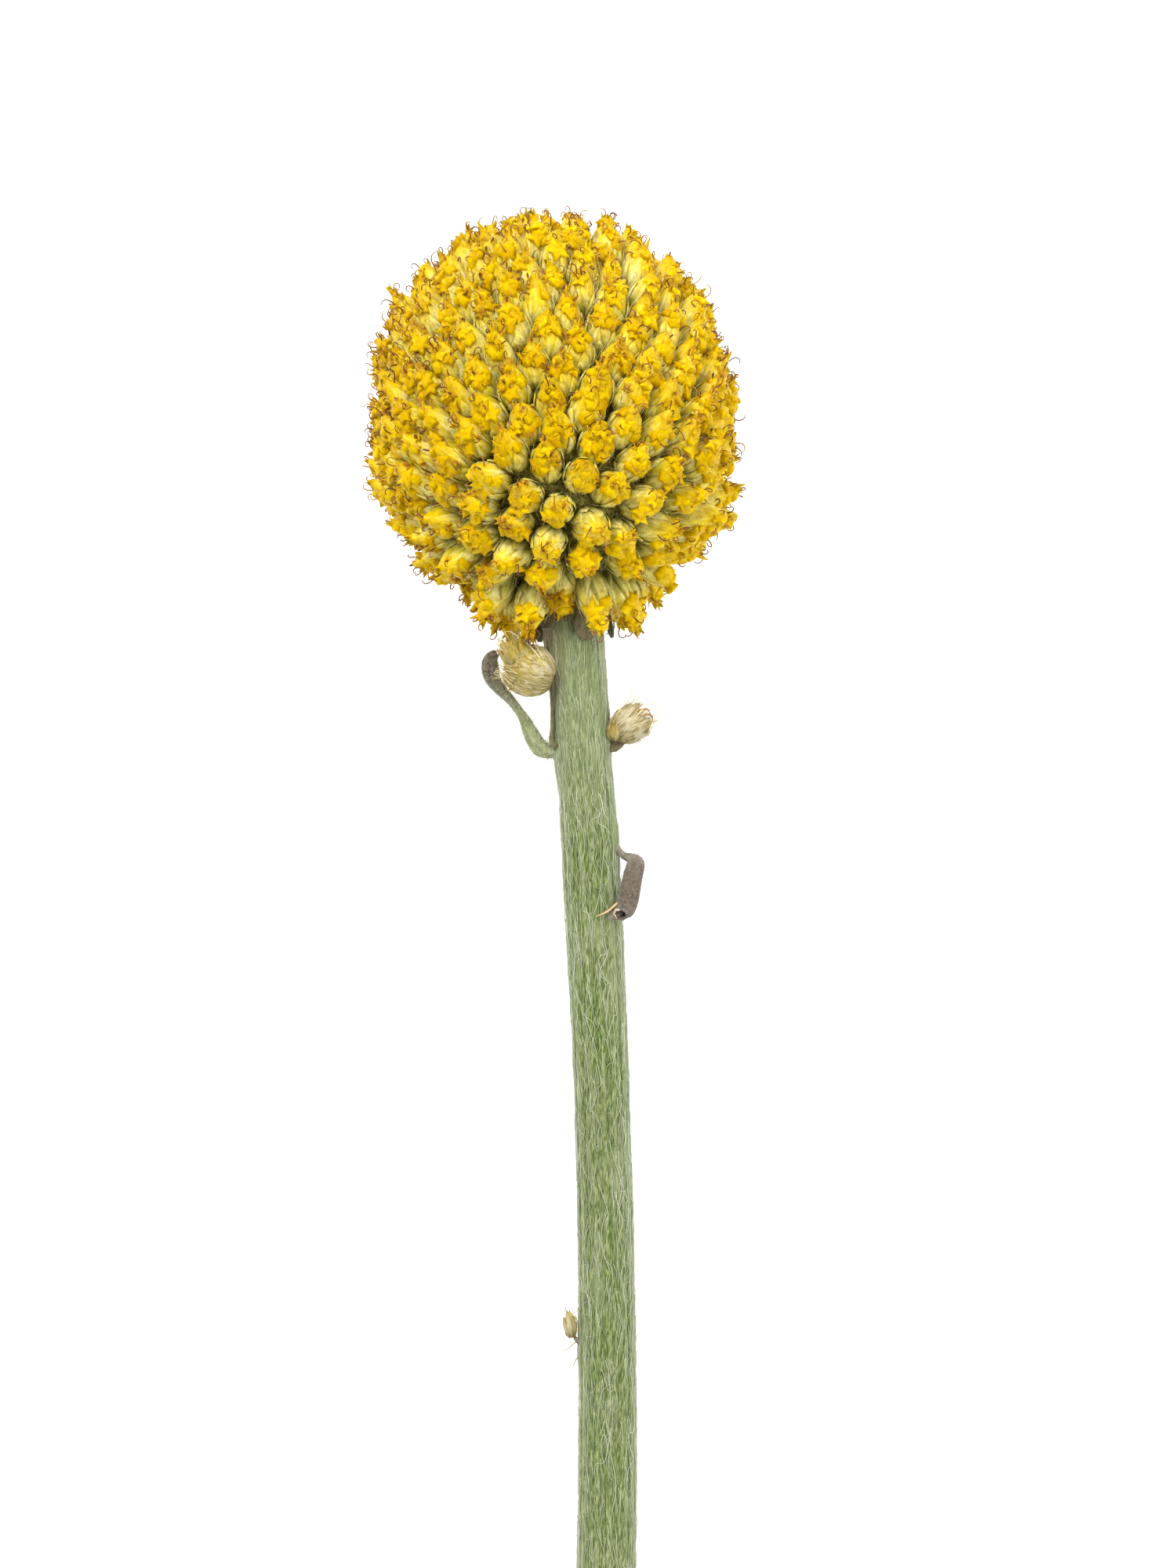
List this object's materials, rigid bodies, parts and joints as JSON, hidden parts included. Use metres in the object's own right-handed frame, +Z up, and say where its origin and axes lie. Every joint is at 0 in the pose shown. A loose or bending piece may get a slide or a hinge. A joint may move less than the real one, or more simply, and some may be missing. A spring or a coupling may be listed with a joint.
{
  "type": "billy buttons stem",
  "caption": "Dried billy buttons stem lying down: a yellow globe of packed small flower heads on a straight cut stem with withered leaf and bud remains.",
  "frame": {"origin": "the spot on the surface that the underside of the globe of flowers rests on", "axes": "+Z up from the surface, the stem runs from the globe along -Y and its cut end touches the surface"},
  "size_m": [0.0265, 0.1189, 0.0257],
  "materials": {
    "bloom_yellow": "matte petals and silky bracts over olive wool",
    "stem_green": "ribbed sage green under white cobwebby down",
    "leaf_grey": "felted grey-green, dark brown at the tip",
    "dead_leaf_brown": "dry, dull grey-brown felt",
    "dry_straw": "thin papery straw bracts",
    "dark_scale": "dark brown dry scale"
  },
  "bodies": {
    "root": {"flower_head": "bloom_yellow", "stem": "stem_green", "upper_leaf": "leaf_grey", "dead_leaf": "dead_leaf_brown", "side_stalk": "stem_green", "dry_button_left": "dry_straw", "shoot_foot_right": "dark_scale", "dry_button_right": "dry_straw", "shrivelled_bud": "dry_straw", "neck_scale_1": "dark_scale", "neck_scale_2": "dark_scale", "neck_scale_3": "dark_scale", "neck_scale_4": "dark_scale", "neck_scale_5": "dark_scale"}
  },
  "joints": []
}
